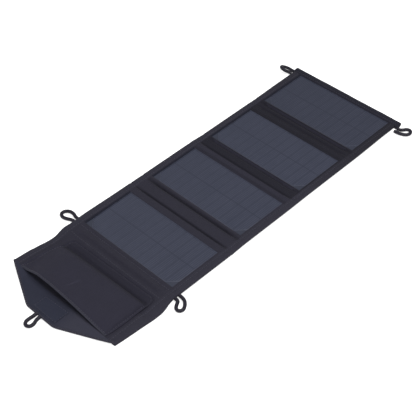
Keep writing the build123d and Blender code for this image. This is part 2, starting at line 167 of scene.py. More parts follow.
class Nodes:
    """A short way to write the nodes of a material or the world."""

    def __init__(self, owner):
        if isinstance(owner, str):
            owner = bpy.data.materials.new(owner)
        owner.use_nodes = True
        self.owner = owner
        self.tree = owner.node_tree
        self.shader = self.tree.nodes.get("Principled BSDF") or self.tree.nodes["Background"]

    def add(self, kind, inputs=None, **settings):
        node = self.tree.nodes.new(kind)
        for key, value in settings.items():
            setattr(node, key, value)
        for key, value in (inputs or {}).items():
            self.feed(node.inputs[key], value)
        return node

    def feed(self, socket, value):
        if isinstance(value, bpy.types.NodeSocket):
            self.tree.links.new(value, socket)
        else:
            socket.default_value = value

    def set(self, **values):
        for key, value in values.items():
            self.feed(self.shader.inputs[key.replace("_", " ")], value)

    def math(self, operation, *values):
        node = self.add("ShaderNodeMath", operation=operation)
        for socket, value in zip(node.inputs, values):
            self.feed(socket, value)
        return node.outputs[0]

    def times(self, value, share):
        return self.math("MULTIPLY", value, share)

    def sum(self, one, share, other, other_share):
        """Two values added, each by its share."""
        return self.math("MULTIPLY_ADD", one, share, self.times(other, other_share))

    def mix(self, factor, one, two):
        node = self.add("ShaderNodeMix", data_type="RGBA")
        for index, value in ((0, factor), (6, one), (7, two)):
            self.feed(node.inputs[index], value)
        return node.outputs[2]

    def tint(self, factor, colour):
        """Turns the base colour so far towards another."""
        so_far = self.shader.inputs["Base Color"].links[0].from_socket
        self.set(Base_Color=self.mix(factor, so_far, colour))

    def ramp(self, value, start=0.0, end=1.0, least=0.0, most=1.0, kind="LINEAR"):
        """From least at start to most at end."""
        inputs = {"Value": value, "From Min": start, "From Max": end, "To Min": least, "To Max": most}
        return self.add("ShaderNodeMapRange", inputs, interpolation_type=kind).outputs[0]

    def noise(self, vector, scale, detail=2.0):
        inputs = {"Vector": vector, "Scale": scale, "Detail": detail}
        return self.add("ShaderNodeTexNoise", inputs).outputs["Fac"]

    def stretch(self, vector, x, y, z=1.0):
        """The vector with each axis scaled."""
        return self.add("ShaderNodeMapping", {"Vector": vector, "Scale": (x, y, z)}).outputs[0]

    def split(self, vector):
        return self.add("ShaderNodeSeparateXYZ", {"Vector": vector}).outputs

    def attribute(self, name):
        return self.add("ShaderNodeAttribute", attribute_name=name).outputs["Fac"]

    def seen_by(self, *rays):
        """1 for these kinds of ray and 0 for the others."""
        path = self.add("ShaderNodeLightPath")
        found, *others = [path.outputs[f"Is {ray} Ray"] for ray in rays]
        for other in others:
            found = self.math("MAXIMUM", found, other)
        return found

    def finish(self, colour, roughness, relief, distance, strength, **others):
        """The finished material, with its relief as bump."""
        inputs = {"Height": relief, "Distance": distance, "Strength": strength}
        self.set(Base_Color=colour, Roughness=roughness, **others,
                 Normal=self.add("ShaderNodeBump", inputs).outputs[0])
        return self.owner

    def cloth(self):
        """The flat cloth's own coordinates, in millimetres."""
        return self.add("ShaderNodeUVMap", uv_map="cloth").outputs[0]

    def place(self):
        """The place in the model's frame, in millimetres."""
        where = self.add("ShaderNodeTexCoord").outputs["Object"]
        return self.stretch(where, 1 / MM, 1 / MM, 1 / MM)

    def weave(self, where, pitch):
        """Plain weave: the height of threads that pass over and under each other."""
        split = self.split(where)
        across, along = [self.math("SINE", self.times(split[k], math.pi / pitch)) for k in (0, 1)]
        chosen = self.ramp(self.times(across, along), -0.25, 0.25)
        one, two = self.math("ABSOLUTE", across), self.math("ABSOLUTE", along)
        return self.math("MULTIPLY_ADD", chosen, self.math("SUBTRACT", two, one), one)


# ---- materials ----
def fabric_material(name, colour, pitch=0.62, sheen=0.05, roughness=0.74):
    """Woven polyester with a coating: thread relief with a painted highlight on the raised threads, uneven dye and
    faint worn patches.
    """
    nodes = Nodes(name)
    where = nodes.cloth()
    threads = nodes.weave(where, pitch)
    slubs = nodes.noise(nodes.stretch(where, 0.08, 1.4), 1.0, 3.0)
    patches = nodes.noise(where, 0.035, 3.0)
    light = shade(colour, 1.12)
    dyed = nodes.mix(nodes.sum(slubs, 0.5, patches, 0.5), shade(colour, 0.86), light)
    worn = nodes.ramp(patches, least=roughness - 0.07, most=roughness + 0.07)
    # the raised threads are mixed towards the lighter colour: a painted highlight
    return nodes.finish(nodes.mix(nodes.times(threads, 0.3), dyed, light), worn, threads, 0.00016, 0.7,
                        Specular_IOR_Level=0.12, Sheen_Weight=sheen, Sheen_Roughness=0.45)


def painted_shade_along(material, start, end, share):
    """The same material with painted shade: darker by share (0 to 1) past the places start to end on the strip."""
    nodes = Nodes(material)
    reached = nodes.ramp(nodes.split(nodes.cloth())[0], start, end, most=share, kind="SMOOTHSTEP")
    nodes.tint(reached, BLACK)
    return material


PAINTED_SHADE = ("groove_and_painted_shade", BLACK)             # what a mesh marks, and the colour it turns towards: painted shade here, a painted highlight below
PAINTED_HIGHLIGHT = ("painted_light", shade((104, 104, 124)))


def marked(material, *marks):
    """The same material, turned towards each mark's colour where the mesh has that mark: painted shade and painted
    highlight.
    """
    nodes = Nodes(material)
    for name, colour in marks:
        nodes.tint(nodes.attribute(name), colour)
    return material


def lining_material():
    """The flap's coated inner side, with painted shade from the pocket's lip on its left part: lighter towards its
    right edge.
    """
    nodes = Nodes("flap_cloth")
    where = nodes.cloth()
    threads = nodes.weave(where, 0.5)
    across = nodes.math("MULTIPLY_ADD", nodes.noise(where, 0.05, 3.0), 8.0, nodes.split(where)[1])
    # 1 towards the right edge, 0 from the middle leftwards: the dark left part is painted shade from the pocket's
    # lip
    painted_light = nodes.ramp(across, -4.0, -22.0, kind="SMOOTHSTEP")
    base = nodes.mix(painted_light, shade((38, 40, 53)), shade((49, 49, 60)))
    # raised threads turn lighter: a painted highlight on their crests
    raised = nodes.mix(nodes.times(threads, 0.2), base, shade((62, 62, 74)))
    return nodes.finish(raised, 0.72, threads, 0.00014, 0.6,
                        Specular_IOR_Level=0.12, Sheen_Weight=0.03, Sheen_Roughness=0.45)


def tape_material(name, colour):
    """Grosgrain tape: ribs across its length and a slightly brighter face."""
    nodes = Nodes(name)
    where = nodes.cloth()
    ribs = nodes.math("ABSOLUTE", nodes.math("SINE", nodes.times(nodes.split(where)[0], 4.2)))
    fuzz = nodes.noise(nodes.stretch(where, 3.0, 0.7), 1.0)
    # the ribs' crests are painted lighter: a painted highlight
    tone = nodes.math("MULTIPLY_ADD", nodes.noise(where, 0.05), 0.25, nodes.sum(ribs, 0.35, fuzz, 0.4))
    relief = nodes.math("MULTIPLY_ADD", fuzz, 0.3, ribs)
    dyed = nodes.mix(tone, shade(colour, 0.82), shade(colour, 1.15))
    return nodes.finish(dyed, 0.7, relief, 0.00018, 0.8,
                        Specular_IOR_Level=0.14, Sheen_Weight=0.05, Sheen_Roughness=0.4)


def thread_material():
    """Sewing thread: twisted, a little brighter than the cloth."""
    nodes = Nodes("sewing_thread")
    twist = nodes.noise(nodes.place(), 3.0)
    dyed = nodes.mix(twist, shade((52, 52, 62)), shade((78, 78, 90)))
    return nodes.finish(dyed, 0.55, twist, 0.00008, 0.5, Specular_IOR_Level=0.25)


def cord_material():
    """Braided cord: painted highlights on the strands' crests and painted shade in the valleys between them."""
    nodes = Nodes("braided_cord")
    fibre = nodes.noise(nodes.place(), 5.0)
    tone = nodes.math("POWER", nodes.attribute("crest"), 3.0)
    tone = nodes.math("MULTIPLY_ADD", fibre, 0.25, tone)
    dyed = nodes.mix(tone, shade((4, 3, 7)), shade((54, 51, 66)))
    return nodes.finish(dyed, 0.42, fibre, 0.00006, 0.5,
                        Specular_IOR_Level=0.22, Sheen_Weight=0.02, Sheen_Roughness=0.3)


BUSBAR = 29.5        # the busbar's place along the strip, from the wafer's near edge
BUSBAR_HALF = 0.65
LINE_PITCH = 1.05    # half of the collector lines' spacing
WAFER_TONE_AND_SHADE = {1: 0.92, 2: 0.92, 3: 0.93, 4: 0.88}     # the wafers differ a little in tone, and the far panel's lower share is painted shade, as less light reaches it


def filmed(nodes, where, colour, roughness, **gloss):
    """The finished material under the clear film, which is faintly uneven."""
    return nodes.finish(colour, roughness, nodes.noise(where, 1.1), 0.00004, 0.35, **gloss)


def cell_material(panel):
    """Silicon under a satin film: fine collector lines and one busbar across the strips."""
    nodes = Nodes(f"solar_cell_{panel}")
    where = nodes.place()
    split = nodes.split(where)
    lines = nodes.math("PINGPONG", nodes.math("ADD", split[1], WAFER_HALF), LINE_PITCH)
    broken = nodes.noise(nodes.stretch(where, 0.12, 0.9), 1.0)
    finger = nodes.times(nodes.math("LESS_THAN", lines, 0.3), broken)
    off_bar = nodes.math("SUBTRACT", split[0], WAFERS[panel][0] + BUSBAR)
    bar = nodes.math("LESS_THAN", nodes.math("ABSOLUTE", off_bar), BUSBAR_HALF)
    grain = nodes.noise(nodes.stretch(where, 0.05, 0.5), 1.0, 3.0)
    tone = nodes.sum(grain, 0.4, nodes.noise(where, 0.03), 0.6)
    silicon = nodes.mix(tone, shade((49, 53, 68), WAFER_TONE_AND_SHADE[panel]), shade((60, 63, 79), WAFER_TONE_AND_SHADE[panel]))
    lined = nodes.mix(nodes.times(finger, 0.7), silicon, shade((76, 79, 94)))
    barred = nodes.mix(nodes.times(bar, 0.5), lined, shade((40, 43, 56)))
    return filmed(nodes, where, barred, 0.5, Specular_IOR_Level=0.16, Coat_Weight=0.08,
                  Coat_Roughness=0.3)


def laminate_material(name="laminate", near=(44, 47, 59), far=(52, 55, 69), gloss=0.15):
    """The backing sheet and the film's margins round the cells."""
    nodes = Nodes(name)
    where = nodes.place()
    tone = nodes.mix(nodes.noise(where, 0.05), shade(near), shade(far))
    return filmed(nodes, where, tone, 0.42, Specular_IOR_Level=gloss, Coat_Weight=gloss,
                  Coat_Roughness=0.25)


def plain_material(name, colour, roughness, metallic=0.0):
    """Moulded plastic, board or metal: a fine grain over a nearly even colour."""
    nodes = Nodes(name)
    where = nodes.place()
    grain = nodes.noise(where, 2.0, 3.0)
    tone = nodes.sum(grain, 0.4, nodes.noise(where, 0.08), 0.6)
    even = nodes.mix(tone, shade(colour, 0.88), shade(colour, 1.08))
    return nodes.finish(even, roughness, grain, 0.00003, 0.5, Metallic=metallic)


CLOTH = marked(fabric_material("front_cloth", (40, 39, 49)), PAINTED_SHADE)
# painted shade: the far folds' cloth darkens past the third fold's first crease, where less light falls
SHADED_FAR_CLOTH = painted_shade_along(marked(fabric_material("shaded_far_cloth", (40, 39, 50)), PAINTED_SHADE),
                         CREASES[4] - 1.5, CREASES[4] + 1.5, 0.4)
POCKET_CLOTH = marked(fabric_material("pocket_cloth", (42, 41, 52), sheen=0.02, roughness=0.85),
                      PAINTED_SHADE, PAINTED_HIGHLIGHT)
LINING = lining_material()
BACK_CLOTH = fabric_material("back_cloth", (41, 41, 50), pitch=0.75)
TAPE = tape_material("edge_tape", (44, 43, 53))
# painted shade: both side tapes darken towards the far end, the right one more, where less light falls
LEFT_TAPE = painted_shade_along(tape_material("left_edge_tape", (44, 43, 53)), 130.0, 200.0, 0.16)
RIGHT_TAPE = painted_shade_along(tape_material("right_edge_tape", (44, 43, 53)), 30.0, 190.0, 0.38)
# a dark band painted beside each window's left side: a painted shadow
WINDOW_SHADE = fabric_material("window_shade", (30, 31, 41), sheen=0.0, roughness=0.85)
HEM_TAPE = tape_material("hem_tape", (30, 30, 40))
# the lip's tape is lighter than the others: a painted highlight along the pocket's lip
LIP_TAPE = tape_material("lip_tape", (49, 49, 59))
THREAD = thread_material()
CORD = cord_material()
HOOK = fabric_material("hook_tape", (38, 40, 53), pitch=1.3, sheen=0.1, roughness=0.8)
FILM_EDGE = laminate_material("film_edge", (50, 53, 67), (58, 61, 76), gloss=0.2)
COPPER = plain_material("copper_ribbon", (190, 120, 80), 0.35, metallic=1.0)

CAD_MATERIALS = {
    "laminate": laminate_material(),
    "stiffener": plain_material("stiff_board", (66, 66, 68), 0.7),
    "box_plastic": plain_material("box_plastic", (30, 30, 33), 0.5),
    "circuit_board": plain_material("circuit_board", (22, 84, 48), 0.4),
    "components": plain_material("components", (34, 34, 36), 0.45),
    "socket_steel": plain_material("socket_steel", (186, 186, 190), 0.3, metallic=1.0),
    "tongue_plastic": plain_material("tongue_plastic", (222, 222, 222), 0.5),
}


def dress_cad_nodes():
    dress = {part["node"]: CAD_MATERIALS.get(part["material_slot"])
             for part in frame["record"]["subparts"]}
    dress |= {f"panel_{n}_cells": cell_material(n) for n in PANELS}
    for node, material in dress.items():
        if material:
            mesh = frame["nodes"][node].data
            mesh.materials.clear()
            mesh.materials.append(material)


# ---- mesh helpers ----
def smooth(*points):
    """A smooth line through (place, height) points that never swings past them."""
    place, height = np.array(points, float).T
    step = np.diff(place)
    rise = np.diff(height) / step
    slope = np.zeros(len(place))
    slope[0], slope[-1] = rise[0], rise[-1]
    same = rise[:-1] * rise[1:] > 0
    total = np.where(same, rise[:-1] + rise[1:], 1.0)
    slope[1:-1] = np.where(same, 2 * rise[:-1] * rise[1:] / total, 0.0)

    def at(x):
        i = np.clip(np.searchsorted(place, x) - 1, 0, len(step) - 1)
        t = np.clip((x - place[i]) / step[i], 0, 1)
        start, end = height[i], height[i + 1]
        swing = slope[i] * step[i] * t * (1 - t) ** 2 - slope[i + 1] * step[i] * t * t * (1 - t)
        return start + (end - start) * t * t * (3 - 2 * t) + swing

    return at


def ease(x, start, end):
    """From 0 at start to 1 at end, smoothly."""
    t = np.clip((x - start) / (end - start), 0, 1)
    return t * t * (3 - 2 * t)


def slab(x, y, top, bottom, kept=None):
    """(points, faces) of a closed sheet over a grid of x and y, between two heights."""
    if kept is None:
        kept = np.ones((x.shape[0] - 1, x.shape[1] - 1), bool)
    number = np.arange(x.size).reshape(x.shape)
    points = np.concatenate([np.stack([x, y, z], -1).reshape(-1, 3) for z in (top, bottom)])
    a, b, c, d = number[:-1, :-1], number[1:, :-1], number[1:, 1:], number[:-1, 1:]
    under = x.size
    faces = [np.stack([a, b, c, d], -1)[kept], np.stack([d, c, b, a], -1)[kept] + under]
    ring = np.pad(kept, 1)
    sides = ((ring[:-2, 1:-1], a, d), (ring[2:, 1:-1], c, b),
             (ring[1:-1, :-2], b, a), (ring[1:-1, 2:], d, c))
    for neighbour, one, two in sides:
        wall = np.stack([one, two, two + under, one + under], -1)
        faces.append(wall[kept & ~neighbour])
    used, faces = np.unique(np.concatenate(faces), return_inverse=True)
    return points[used], faces.reshape(-1, 4).tolist()


def tube(rings, looped=False):
    """(points, faces) of a solid through rings of points, with flat ends or joined to itself."""
    rings = np.asarray(rings, float)
    number = np.arange(rings.size // 3).reshape(rings.shape[:2])
    ends = [] if looped else [number[0].tolist(), number[-1][::-1].tolist()]
    number = np.concatenate([number, number[:1]]) if looped else number
    next_one = np.roll(number, -1, axis=1)
    walls = np.stack([number[:-1], number[1:], next_one[1:], next_one[:-1]], -1).reshape(-1, 4)
    return rings.reshape(-1, 3), walls.tolist() + ends


def joined(parts):
    """Several (points, faces) as one."""
    points, faces, shift = [], [], 0
    for part_points, part_faces in parts:
        points.append(part_points)
        faces += [[i + shift for i in face] for face in part_faces]
        shift += len(part_points)
    return np.concatenate(points), faces


def piece(name, slot, *parts):
    """One object from ((points, faces), material) parts, with flat cloth coordinates in mm."""
    points, faces = joined([shape for shape, _ in parts])
    mesh = bpy.data.meshes.new(name)
    mesh.from_pydata((points * MM).tolist(), [], faces)
    owners = np.repeat(np.arange(len(parts)), [len(shape[1]) for shape, _ in parts])
    for _, material in parts:
        mesh.materials.append(material)
    mesh.polygons.foreach_set("material_index", owners.astype(np.int32))
    mesh.update()
    lay_cloth(mesh)
    mesh.shade_smooth()
    mesh.set_sharp_from_angle(angle=math.radians(42))
    made = bpy.data.objects.new(name, mesh)
    bpy.context.scene.collection.objects.link(made)
    return made


def lay_cloth(mesh):
    """Flat coordinates in mm, seen along the axis that each face turns to most."""
    corner = read(mesh.loops, "vertex_index", kind=np.int32)
    sizes = read(mesh.polygons, "loop_total", kind=np.int32)
    facing = np.abs(read(mesh.polygons, "normal", 3)).argmax(1)
    facing = np.repeat(facing, sizes)[:, None]
    at = read(mesh.vertices, "co", 3)[corner] / MM
    flat = np.where(facing == 0, at[:, [2, 1]], at[:, :2])
    flat = np.where(facing == 1, at[:, [0, 2]], flat)
    layer = mesh.uv_layers.new(name="cloth")
    layer.data.foreach_set("uv", flat.astype(np.float32).ravel())


def mark(made, name, values):
    """A named value at each of the mesh's first points, and 0 at the others."""
    all_values = np.zeros(len(made.data.vertices), np.float32)
    all_values[:len(values)] = values
    made.data.attributes.new(name, "FLOAT", "POINT").data.foreach_set("value", all_values)


STITCH_PITCH = 2.9
STITCH_LONG = 2.1
STITCH_THICK = 0.36
STITCH_PROUD = 0.12  # its middle stands over the cloth, and its ends sink into it
STITCH_SINK = 0.3


def stitches(line):
    """(points, faces) of a row of stitches along a line of points on the cloth."""
    length, at = walk(line)
    middles = np.arange(STITCH_PITCH / 2, length, STITCH_PITCH)
    way = unit(at(middles + 0.6) - at(middles - 0.6))
    turn = circle(6)
    made = []
    for centre, w, s, u in zip(at(middles), way, *side_and_over(way)):
        rings = []
        for t in (-1.0, -0.7, 0.0, 0.7, 1.0):
            radius = STITCH_THICK / 2 * math.sqrt(max(1 - t ** 4, 0.05))
            middle = centre + w * t * STITCH_LONG / 2 + u * (STITCH_PROUD - STITCH_SINK * t * t)
            rings.append(middle + radius * (np.outer(np.cos(turn), s) + np.outer(np.sin(turn), u)))
        made.append(tube(rings))
    return joined(made)


def binding(centres, inward, over, wide, thick):
    """(points, faces) of a tape folded over an edge: an oval section along a line."""
    turn = circle(12)[:, None]
    return tube([centre - i * np.cos(turn) * wide + o * np.sin(turn) * thick
                 for centre, i, o in zip(centres, inward, over)])


# ---- how the strip lies ----
GROOVE = -2.8        # heights along the strip's middle, measured from a panel's top
LOW_GROOVE = -2.3
BAND = -0.8
LOW_BAND = -1.3      # the far folds' bands lie lower
CROWN = 0.35
WINDOW_NEAR = 1.0    # the front fabric's opening clears the wafer by this much
WINDOW_FAR = 0.9
STITCHED_BEFORE_WAFER = 5.6
SEAM_ROW = CREASES[0] + 23.4     # the first fold's own seam


def middle_line():
    """The upper fabric's height along the strip's middle."""
    crown = PANEL_TOP + CROWN
    points = [(POCKET_START - 1, LINING_TOP), (CREASES[0] - 4, LINING_TOP)]
    for n in PANELS:
        start, end = FOLDS[n]
        near, far = WAFERS[n]
        if n == 1:
            points += [(start + 6.5, 1.6), (start + 9.4, 0.65), (start + 12.4, 1.7),
                       (SEAM_ROW - 3.0, 1.9), (SEAM_ROW, 2.5), (SEAM_ROW + 2.5, 2.0),
                       (end - 6.0, 2.1), (end - 1.5, crown),
                       (near - STITCHED_BEFORE_WAFER, PANEL_TOP - 0.5), (near - 2.6, crown)]
        else:
            band = PANEL_TOP + (BAND if n == 2 else LOW_BAND)
            groove = PANEL_TOP + (GROOVE if n == 2 else LOW_GROOVE)
            points += [(start, groove), (start + 2.6, band), ((start + end) / 2, band + 0.1),
                       (end - 3.0, band), (end, groove), (end + 2.4, crown - 0.1),
                       ((end + near - 1) / 2 + 0.6, crown)]
        points += [(near - WINDOW_NEAR, PANEL_TOP - 0.1), (near + 4, PANEL_TOP)]
        points += [(far - 4, PANEL_TOP), (far + WINDOW_FAR, PANEL_TOP - 0.1)]
        if n < len(PANELS):
            next_fold = FOLDS[n + 1][0]
            points += [((far + WINDOW_FAR + next_fold) / 2, crown), (next_fold - 2.0, crown - 0.1)]
    points += [(STRIP_END, PANEL_TOP - 0.2)]
    return smooth(*points)


def underside_line():
    """The back fabric's height: flat under the panels, a little off the ground at the folds."""
    points = [(POCKET_START - 1, 0.0), (CREASES[0], 0.0)]
    for n in PANELS:
        start, end = FOLDS[n]
        lift = 0.1 if n == 1 else 1.1
        points += [(start + 0.5, 0.05), ((start + end) / 2, lift), (end - 0.5, 0.05), (end + 2, 0.0)]
    points += [(STRIP_END, 0.0)]
    return smooth(*points)


middle_height = middle_line()
underside = underside_line()

TAPE_PROUD = 0.2
TAPE_CLOTH = 0.5
TAPE_SEAM = TAPE_INNER + 2.2     # where the tapes are sewn down
RIDGES_KEPT = 0.15   # past the first fold the tapes even out the ridges: they keep this share
EDGE_LEVEL = 4.35    # the two lines below are at this height beside a panel
EDGE = {                         # each edge's height, by side: left is 1 and right is -1
    1: smooth((-196, 7.2), (-186, 6.6), (-176, 5.8), (-171, 4.9), (-165, 4.1), (-157, 2.8),
              (-150, 2.2), (-146, 2.2), (-139, 3.6), (-131, 4.7), (-124, 4.5), (-105, 4.8),
              (-85, 4.5), (-75, 4.35)),
    -1: smooth((-196, 3.0), (-165, 2.6), (-148, 2.0), (-139, 2.6), (-131, 3.6), (-122, 4.35))}
SPREAD = {                       # how far each edge stands out past its straight line
    1: smooth((-196, 0.0), (-165, -0.4), (-147, -0.8), (-131, 0.6), (-122, 0.3), (-100, 0.6),
              (-60, 0.3), (-30, 0.0), (50, -0.3), (66, -1.0), (150, -1.0), (180, -0.3), (214, 0.0)),
    -1: smooth((-196, 0.6), (-185, 1.6), (-173, 2.4), (-161, 3.2), (-150, 4.0), (-142, 4.1),
               (-135, 3.0), (-128, 1.0), (-120, 0.0), (-45, 0.0), (-25, -0.5), (40, -0.6),
               (70, -1.0), (150, -1.2), (172, -1.7), (190, -2.2), (214, -2.4))}
EDGE_LIFT = smooth((-196, 0.3), (-150, 0.2), (-125, 0.7), (-50, 0.7), (-20, 1.3), (214, 1.3))
EDGE_THICK = 3.0     # the tape's outer edge is thinner than the panel


def edge_height(x, side):
    """The tape's height at the strip's outer edge."""
    height = EDGE[side](x)
    evened = PANEL_TOP + TAPE_PROUD + (middle_height(x) - PANEL_TOP) * RIDGES_KEPT
    return np.where(x < CREASES[1] + 2, height, evened + height - EDGE_LEVEL)


def surface(x, y):
    """The upper fabric's height, from the strip's middle to its tapes."""
    edge = np.where(y > 0, edge_height(x, 1), edge_height(x, -1)) - TAPE_PROUD
    share = ease(np.abs(y), TAPE_INNER - 16, TAPE_INNER + 4)
    middle = middle_height(x)
    lowest = np.where(x < CREASES[0] - 2, LINING_TOP, 0.0)
    return np.maximum(middle + (edge - middle) * share, lowest)


# ---- tapes, fabrics and ribbons along the strip ----
BACK_CLOTH_THICK = 0.5
RIBBON_HALF = 3.0
RIBBON_THICK = 0.2


def stations(start, end, step, extra=()):
    """Places from start to end, about step apart, with the extra ones among them."""
    marks = sorted({start, end, *[e for e in extra if start < e < end]})
    found = [start]
    for a, b in zip(marks, marks[1:]):
        count = max(1, round((b - a) / step))
        found += list(np.linspace(a, b, count + 1)[1:])
    return np.array(found)


def tape_ring(x, side):
    """The tape's section at x: over the top, round the edge and back underneath."""
    inner = float(surface(np.array(x), np.array(side * TAPE_INNER))) + TAPE_PROUD
    outer = float(edge_height(np.array(x), side))
    ground = float(underside(x))
    raised = max(float(EDGE_LIFT(x)), outer - EDGE_THICK, ground)
    half = HALF + float(SPREAD[side](x))
    pull = 0.3 * (1 + 0.4 * math.cos(2 * math.pi * x / STITCH_PITCH))
    corner = min(1.3, max(outer - raised, 1.0) / 2)
    toe = raised + (ground - raised) * 0.2
    heel = ground + (raised - ground) * 0.15
    ring = [
        (TAPE_INNER, inner - 0.08),
        (TAPE_INNER + 0.35, inner),
        (TAPE_SEAM - 0.9, inner + 0.06),
        (TAPE_SEAM, inner - pull),
        (TAPE_SEAM + 0.9, inner + 0.06),
        (half - 2.6, outer + 0.12),
        (half - 1.1, outer),
        (half - 0.25, outer - corner * 0.45),
        (half, outer - corner),
        (half, raised + corner * 0.8),
        (half - 0.3, raised + 0.3),
        (half - 1.2, toe),
        (half - 4.0, heel),
        (TAPE_INNER, ground),
        (TAPE_INNER, ground + TAPE_CLOTH),
        (half - 4.0, heel + TAPE_CLOTH),
        (half - 1.4, toe + TAPE_CLOTH),
        (half - 0.6, raised + corner),
        (half - 0.6, outer - corner),
        (half - 1.4, max(outer, toe + 2 * TAPE_CLOTH) - TAPE_CLOTH),
        (TAPE_INNER, max(inner, ground + 2 * TAPE_CLOTH) - TAPE_CLOTH),
    ]
    return [(x, side * y, z) for y, z in ring][::side]


def sewn_nodes(number, ending):
    """The frame's nodes with this ending, on the pocket and panels beside a crease."""
    stems = [body.replace("_section", "") for body in SECTIONS[number - 1:number + 1]]
    return [f"{stem}_{ending}" for stem in stems if not stem.startswith("fold")]


def edge_tapes(number, xs):
    """The tape over each side edge, with its row of stitches."""
    for side, word, cloth in ((1, "left", LEFT_TAPE), (-1, "right", RIGHT_TAPE)):
        heights = surface(xs, np.full_like(xs, side * TAPE_INNER)) + TAPE_PROUD - 0.1
        strip = piece(f"{word}_tape_{number}", "binding_tape",
                      (tube([tape_ring(x, side) for x in xs]), cloth),
                      (stitches(points_at(xs, side * TAPE_SEAM, heights)), THREAD))
        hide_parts(*sewn_nodes(number, f"{word}_tape"))
        yield strip


def back_fabric(number, xs):
    x, y = grid(xs, np.linspace(-TAPE_INNER - 1, TAPE_INNER + 1, 60))
    lower = underside(x) + 0.02
    back = piece(f"back_fabric_{number}", "coated_fabric",
                 (slab(x, y, lower + BACK_CLOTH_THICK, lower), BACK_CLOTH))
    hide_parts(*sewn_nodes(number, "back_fabric"))
    return back


def ribbon_pair(number, xs, fold):
    """The two copper ribbons inside the fold, half way between its fabrics."""
    middle = high(f"{fold}_ribbons")[1] - RIBBON_HALF
    runs = []
    for centre in (-middle, middle):
        x, y = grid(xs, np.linspace(centre - RIBBON_HALF, centre + RIBBON_HALF, 3))
        height = (np.minimum(surface(x, y), 3.0) + underside(x)) / 2
        runs.append(slab(x, y, height + RIBBON_THICK / 2, height - RIBBON_THICK / 2))
    copper = piece(f"ribbons_{number}", "copper", (joined(runs), COPPER))
    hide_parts(f"{fold}_ribbons")
    return copper


def crease_pieces(number):
    """The fabrics, tapes and ribbons that run from one section over a crease to the next."""
    start, end = CUTS[number - 1], CUTS[number]
    crease = CREASES[number - 1]
    before, after = SECTIONS[number - 1], SECTIONS[number]
    near_crease = (crease - BEND, crease + BEND)
    fold, way, inner_end = (after, -1, end) if after.startswith("fold") else (before, 1, start)
    ribbon_ends = sorted((crease + way * 1.2, inner_end))
    for made in (*edge_tapes(number, stations(start, end, 0.72, near_crease)),
                 front_fabric(number, start, end, near_crease),
                 back_fabric(number, stations(start, end, 1.5, near_crease)),
                 ribbon_pair(number, stations(*ribbon_ends, 0.5), fold)):
        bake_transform(made)


FRONT_CLOTH = 0.55
SHADE_BAND_WIDTH = 1.9                        # the band beside a window's left side that is painted dark: a painted shadow
FOLD_LINES = [                   # (place, half width, darkening) of the lines of painted shade across the folds
    (CREASES[2], 1.5, 0.35), (CREASES[3], 2.0, 0.3), (WAFERS[2][1] + 3.0, 1.6, 0.3),
    (CREASES[4], 1.5, 0.3), (WAFERS[3][1] + 3.0, 1.6, 0.2), (CREASES[6] - 2.0, 1.4, 0.25),
    (CREASES[7], 1.6, 0.2), (WAFERS[4][1] + 2.6, 1.4, 0.25)]
FIRST_FAR_CREASE = 5             # from this piece on the strip uses the far cloth, which carries painted shade past the third fold
STITCHED_ROWS = [SEAM_ROW, WAFERS[1][0] - STITCHED_BEFORE_WAFER]


def front_fabric(number, start, end, near_crease):
    """The upper fabric from one section to the next, with the panels' windows cut out."""
    bodies = SECTIONS[number - 1:number + 1]
    panels = [int(body[-1]) for body in bodies if body.startswith("panel")]
    windows = [(WAFERS[n][0] - WINDOW_NEAR, WAFERS[n][1] + WINDOW_FAR) for n in panels]
    window_half = WAFER_HALF + 1.0
    xs = stations(start, end, 0.7, [*near_crease, *sum(windows, ())])
    ys = stations(-TAPE_INNER - 1, TAPE_INNER + 1, 1.2, (-window_half, window_half))
    x, y = grid(xs, ys)
    cell_x, cell_y = grid((xs[:-1] + xs[1:]) / 2, (ys[:-1] + ys[1:]) / 2)
    top = surface(x, y)
    kept = np.ones_like(cell_x, bool)
    rim = np.zeros_like(kept)
    for window_start, window_end in windows:
        in_line = (cell_x > window_start) & (cell_x < window_end)
        kept &= ~(in_line & (np.abs(cell_y) < window_half))
        rim |= in_line & (cell_y > window_half) & (cell_y < window_half + SHADE_BAND_WIDTH)
        away = np.maximum(np.maximum(window_start - x, x - window_end), np.abs(y) - window_half)
        top = top - 0.28 * (1 - ease(away, 0.0, 0.9))
    cloth = CLOTH if number < FIRST_FAR_CREASE else SHADED_FAR_CLOTH
    # the band beside the window's left side takes the dark material: a painted shadow
    parts = [(slab(x, y, top, top - FRONT_CLOTH, kept & ~rim), cloth),
             (slab(x, y, top, top - FRONT_CLOTH, kept & rim), WINDOW_SHADE)]
    across = np.linspace(TAPE_INNER - 0.5, 0.5 - TAPE_INNER, 180)
    for row in STITCHED_ROWS:
        if start < row < end:
            heights = surface(np.full_like(across, row), across)
            parts.append((stitches(points_at(row, across, heights)), THREAD))
    made = piece(f"front_fabric_{number}", "coated_fabric", *parts)
    used = read(made.data.vertices, "co", 3)[:, 0] / MM
    # painted shade along those lines, carried by the mesh's mark
    mark(made, "groove_and_painted_shade", sum(share * np.exp(-((used - place) / wide) ** 2)
                              for place, wide, share in FOLD_LINES))
    nodes = [f"panel_{n}_front_fabric" for n in panels]
    nodes += [f"{body}_fabric" for body in bodies if body.startswith("fold")]
    nodes += ["pocket_lining"] if number == 1 else []
    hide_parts(*nodes)
    return made


